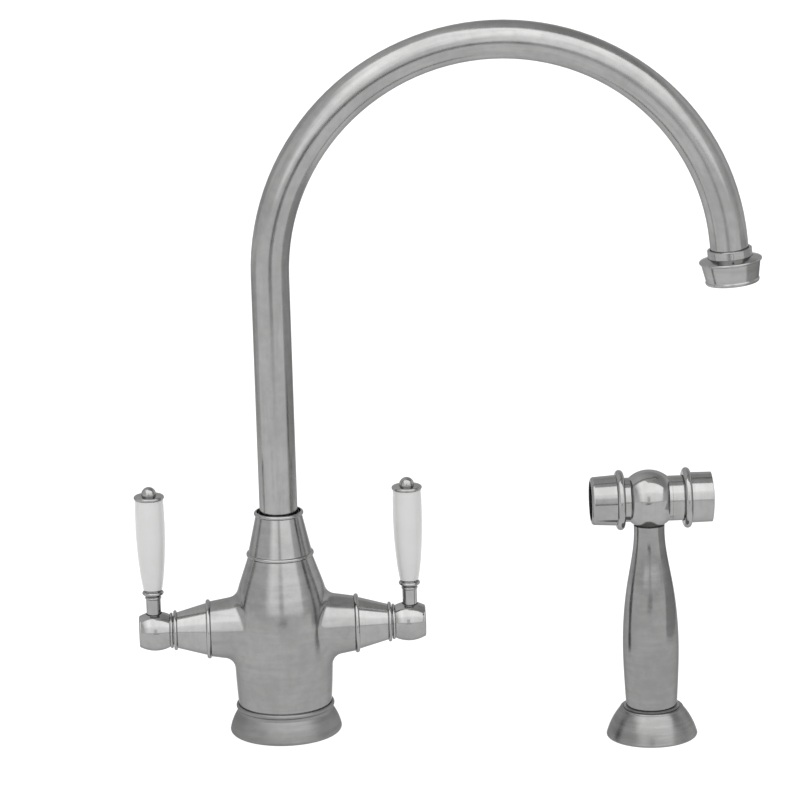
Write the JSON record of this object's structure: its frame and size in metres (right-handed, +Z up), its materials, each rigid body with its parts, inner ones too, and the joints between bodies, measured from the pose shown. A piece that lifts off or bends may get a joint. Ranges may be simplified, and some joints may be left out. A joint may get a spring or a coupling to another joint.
{
  "type": "side spray kitchen faucet",
  "caption": "Gooseneck kitchen faucet with porcelain lever handles on side arms and a push-button side spray standing in its own holder.",
  "frame": {"origin": "centre of the faucet's round base where it stands on the deck, which is the mouth of the central port in its underside", "axes": "+Z up, +X along the right-hand valve arm and the spout at rest, -Y towards the user"},
  "size_m": [0.3147, 0.0816, 0.3569],
  "materials": {
    "nickel": "brushed nickel plate",
    "brass": "turned",
    "steel": "bright stainless",
    "rubber": "matt",
    "white_plastic": "moulded",
    "dark_plastic": "moulded",
    "porcelain": "glazed",
    "ceramic": "lapped"
  },
  "bodies": {
    "root": {"body_casting": "nickel", "base_flange": "nickel", "deck_gasket": "rubber", "diverter_sleeve": "brass", "diverter_spring": "steel", "spout_collar": "nickel", "thrust_washer": "steel", "spout_bush": "white_plastic", "holder_flange": "nickel", "holder_gasket": "rubber", "holder_guide": "white_plastic", "left_bonnet": "nickel", "left_cartridge_shell": "brass", "left_cartridge_seal": "rubber", "left_fixed_disc": "ceramic", "right_bonnet": "nickel", "right_cartridge_shell": "brass", "right_cartridge_seal": "rubber", "right_fixed_disc": "ceramic"},
    "left_handle": {"left_hub": "nickel", "left_hub_screw": "steel", "left_lever_stem": "nickel", "left_grip_washer": "rubber", "left_grip": "porcelain", "left_finial": "nickel", "left_spindle": "brass", "left_moving_disc": "ceramic"},
    "right_handle": {"right_hub": "nickel", "right_hub_screw": "steel", "right_lever_stem": "nickel", "right_grip_washer": "rubber", "right_grip": "porcelain", "right_finial": "nickel", "right_spindle": "brass", "right_moving_disc": "ceramic"},
    "spout": {"spout_tube": "nickel", "spout_foot": "brass", "spout_seals": "rubber", "nozzle_collar": "nickel", "nozzle_cup": "nickel", "aerator_washer": "rubber", "aerator_insert": "white_plastic"},
    "diverter": {"diverter_piston": "white_plastic", "diverter_seal": "rubber"},
    "coupling": {"hose_coupling": "brass", "coupling_seal": "rubber", "coupling_clip": "steel"},
    "handset": {"spray_handle": "nickel", "spray_head": "nickel", "head_seal": "rubber", "rose_cup": "nickel", "rose_seal": "rubber", "rose_face": "dark_plastic", "valve_sleeve": "nickel", "button_spring": "steel"},
    "button": {"spray_button": "nickel", "valve_stem": "brass", "valve_pad": "rubber"}
  },
  "joints": [
    {"name": "spout_swivel", "type": "hinge", "parent": "root", "child": "spout", "pos_m": [0, 0, 0.1], "axis": [0, 0, 1], "continuous": true},
    {"name": "left_handle_turn", "type": "hinge", "parent": "root", "child": "left_handle", "pos_m": [-0.0642, 0, 0.0545], "axis": [1, 0, 0], "range_deg": [0, 90]},
    {"name": "right_handle_turn", "type": "hinge", "parent": "root", "child": "right_handle", "pos_m": [0.0642, 0, 0.0545], "axis": [1, 0, 0], "range_deg": [0, 90]},
    {"name": "diverter_shift", "type": "slide", "parent": "root", "child": "diverter", "axis": [0, 0, -1], "range_m": [0, 0.004], "stiffness_N_per_m": 150, "springref_m": -0.006, "deforming": ["diverter_spring"]},
    {"name": "spray_lift", "type": "slide", "parent": "root", "child": "coupling", "axis": [0, 0, 1], "range_m": [0, 0.08]},
    {"name": "spray_turn", "type": "hinge", "parent": "coupling", "child": "handset", "pos_m": [0.182, -0.031, 0.02], "axis": [0, 0, 1], "continuous": true},
    {"name": "spray_push", "type": "slide", "parent": "handset", "child": "button", "axis": [-1, 0, 0], "range_m": [0, 0.004], "stiffness_N_per_m": 750, "springref_m": -0.008, "deforming": ["button_spring"]}
  ]
}
